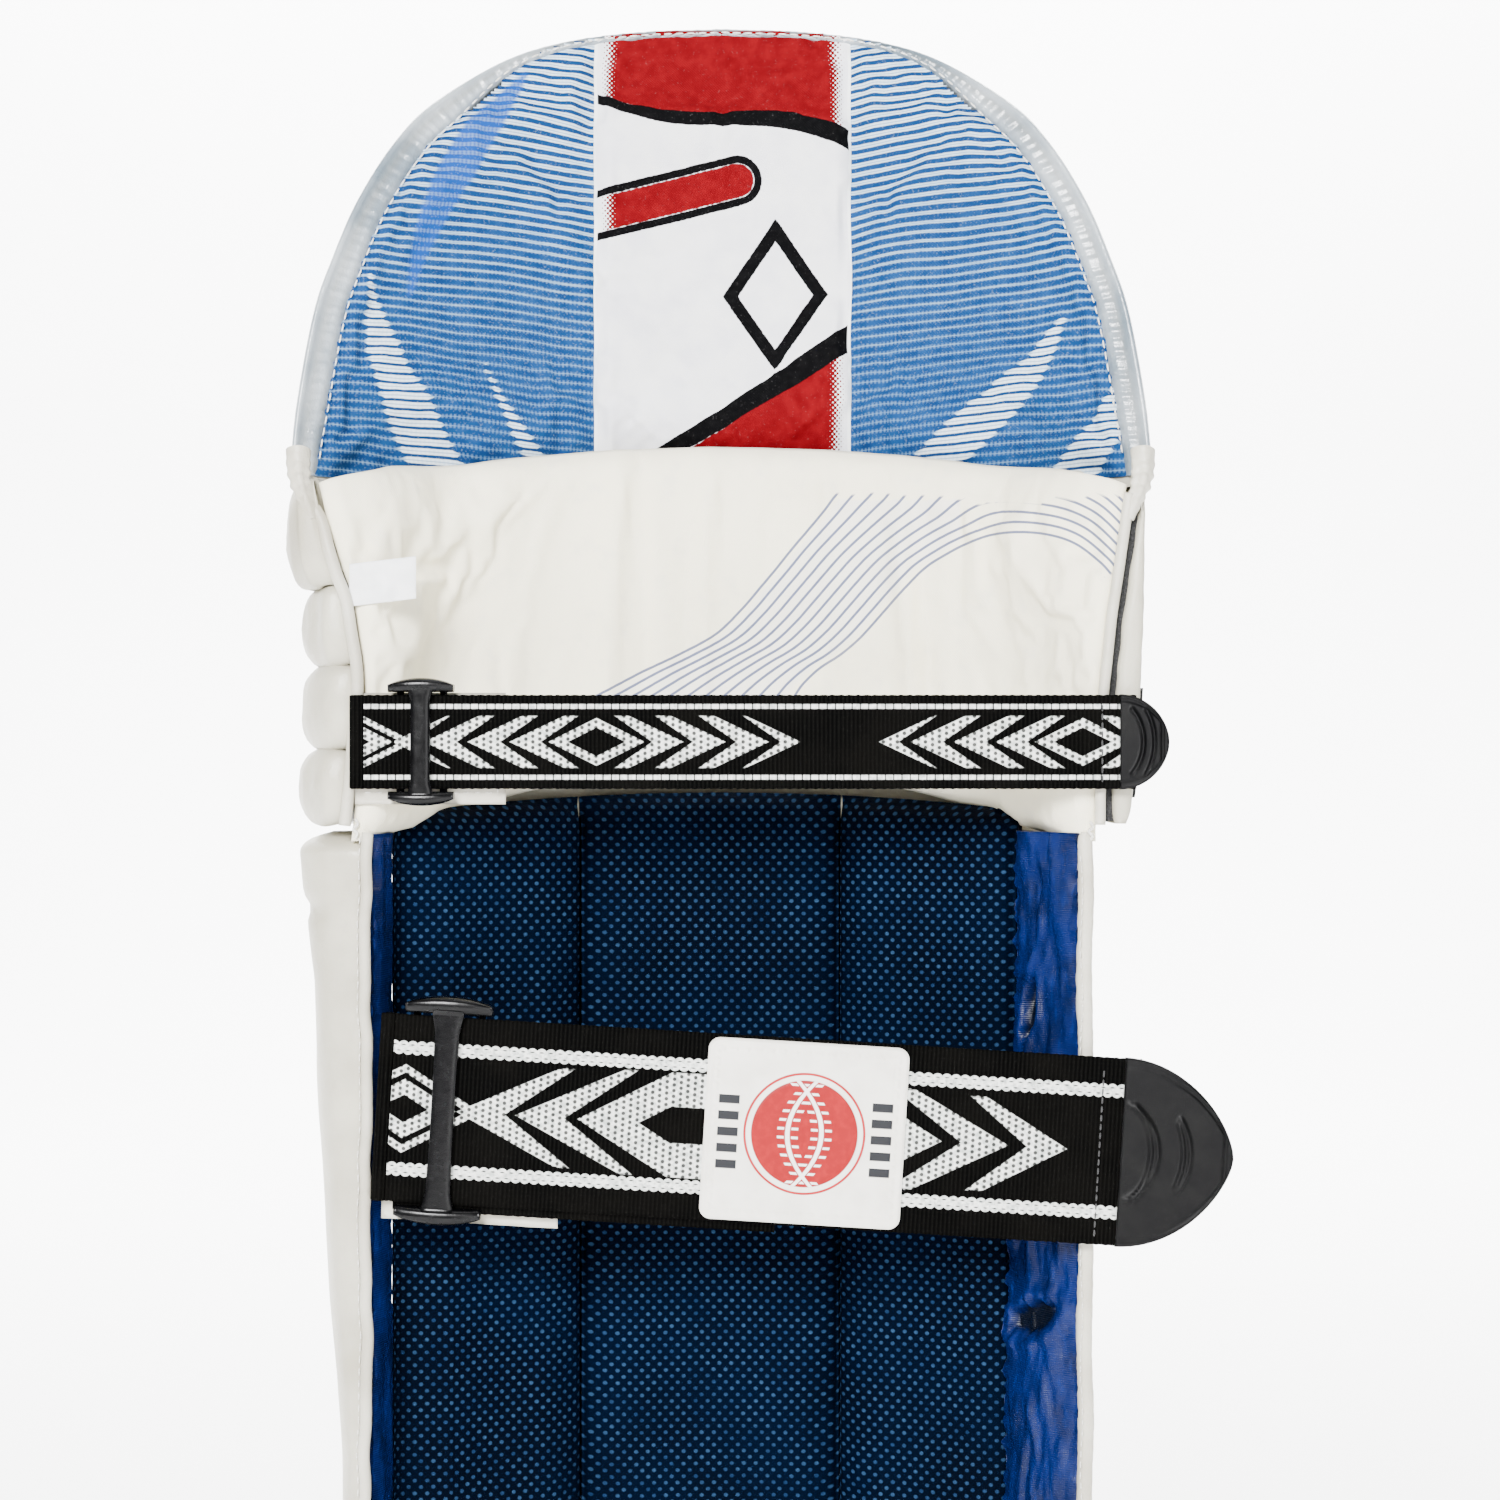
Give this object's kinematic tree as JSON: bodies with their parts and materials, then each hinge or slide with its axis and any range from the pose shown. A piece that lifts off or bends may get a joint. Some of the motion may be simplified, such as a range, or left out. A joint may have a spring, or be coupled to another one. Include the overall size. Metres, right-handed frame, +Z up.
{
  "type": "cricket leg pad",
  "caption": "Upright padded leg guard with a domed thigh flap, ribbed knee section, cushioned shin channel and webbing straps with slide buckles.",
  "frame": {"origin": "centre of the bounding box, on the lower edge of the shin section", "axes": "+Z up along the shin; +Y towards the outer strike face, -Y towards the open leg side with the straps; +X right as seen from the leg side"},
  "size_m": [0.261, 0.0984, 0.603],
  "materials": {
    "white_pu": "satin",
    "binding_pu": "satin",
    "cream_cotton": "matte",
    "foam": "matte",
    "stripe_lining": "matte",
    "centre_print": "matte",
    "cane": "satin",
    "spacer_mesh": "matte",
    "blue_satin": "satin",
    "black_webbing": "matte",
    "hook_tape": "matte",
    "black_rubber": "satin",
    "black_plastic": "gloss",
    "badge_rubber": "satin",
    "label_satin": "satin"
  },
  "bodies": {
    "shin": {"shin_face": "white_pu", "shin_wadding": "foam", "shin_board": "foam", "instep_binding": "binding_pu", "shin_cane_1": "cane", "shin_cane_2": "cane", "shin_cane_3": "cane", "shin_cane_4": "cane", "shin_cane_5": "cane", "shin_cane_6": "cane", "shin_cane_7": "cane", "calf_cushion_left_foam": "foam", "calf_cushion_left_cover": "spacer_mesh", "calf_cushion_centre_foam": "foam", "calf_cushion_centre_cover": "spacer_mesh", "calf_cushion_right_foam": "foam", "calf_cushion_right_cover": "spacer_mesh"},
    "left_wing": {"side_bolster_cover": "white_pu", "side_bolster_foam": "foam", "side_bolster_lining": "blue_satin", "side_bolster_piping": "binding_pu", "calf_buckle_guard": "white_pu"},
    "right_wing": {"right_wing_cover": "white_pu", "right_wing_foam": "foam", "right_wing_lining": "blue_satin", "right_wing_binding": "binding_pu", "calf_loop_patch": "hook_tape"},
    "knee": {"knee_roll_1_foam": "foam", "knee_roll_1_cover": "white_pu", "knee_roll_2_foam": "foam", "knee_roll_2_cover": "white_pu", "knee_roll_3_foam": "foam", "knee_roll_3_cover": "white_pu", "knee_roll_4_foam": "foam", "knee_roll_4_cover": "white_pu", "knee_cushion_foam": "foam", "knee_cushion_cover": "cream_cotton", "knee_side_strip": "white_pu", "knee_edge_piping": "binding_pu", "care_label": "label_satin", "knee_buckle_guard": "white_pu", "knee_loop_patch": "hook_tape", "knee_fold_cloth": "cream_cotton"},
    "top_hat": {"top_hat_binding": "binding_pu", "top_hat_face": "white_pu", "top_hat_foam": "foam", "top_hat_lining_left": "stripe_lining", "top_hat_centre_panel": "centre_print", "top_hat_lining_right": "stripe_lining", "top_hat_fold_cloth": "cream_cotton"},
    "knee_strap": {"knee_strap": "black_webbing", "knee_strap_tip": "black_rubber", "knee_strap_hook_tape": "hook_tape"},
    "knee_slide": {"knee_slide": "black_plastic"},
    "calf_strap": {"calf_strap": "black_webbing", "calf_strap_tip": "black_rubber", "calf_strap_hook_tape": "hook_tape", "calf_badge": "badge_rubber"},
    "calf_slide": {"calf_slide": "black_plastic"}
  },
  "joints": [
    {"name": "knee_flex", "type": "hinge", "parent": "shin", "child": "knee", "pos_m": [-0.00873, -0.0412, 0.3672], "axis": [1, 0, 0], "range_deg": [-1.5, 12], "deforming": ["knee_fold_cloth"]},
    {"name": "top_hat_fold", "type": "hinge", "parent": "knee", "child": "top_hat", "pos_m": [-0.00873, -0.0192, 0.465], "axis": [1, 0, 0], "range_deg": [-2, 20], "deforming": ["top_hat_fold_cloth"]},
    {"name": "left_wing_flex", "type": "hinge", "parent": "shin", "child": "left_wing", "pos_m": [-0.10373, -0.0002, 0.1828], "axis": [0, 0, -1], "range_deg": [0, 15]},
    {"name": "right_wing_flex", "type": "hinge", "parent": "shin", "child": "right_wing", "pos_m": [0.07811, 0.00345, 0.1828], "axis": [0, 0, 1], "range_deg": [0, 18]},
    {"name": "knee_strap_swing", "type": "hinge", "parent": "knee", "child": "knee_strap", "pos_m": [-0.10733, -0.0441, 0.3912], "axis": [0, 0, -1], "range_deg": [0, 140]},
    {"name": "calf_strap_swing", "type": "hinge", "parent": "left_wing", "child": "calf_strap", "pos_m": [-0.10013, -0.0441, 0.2922], "axis": [-0.061, 0, -0.9981], "range_deg": [0, 140]},
    {"name": "knee_slide_adjust", "type": "slide", "parent": "knee_strap", "child": "knee_slide", "axis": [1, 0, 0], "range_m": [0, 0.1]},
    {"name": "calf_slide_adjust", "type": "slide", "parent": "calf_strap", "child": "calf_slide", "axis": [0.9981, 0, -0.061], "range_m": [0, 0.058]}
  ]
}
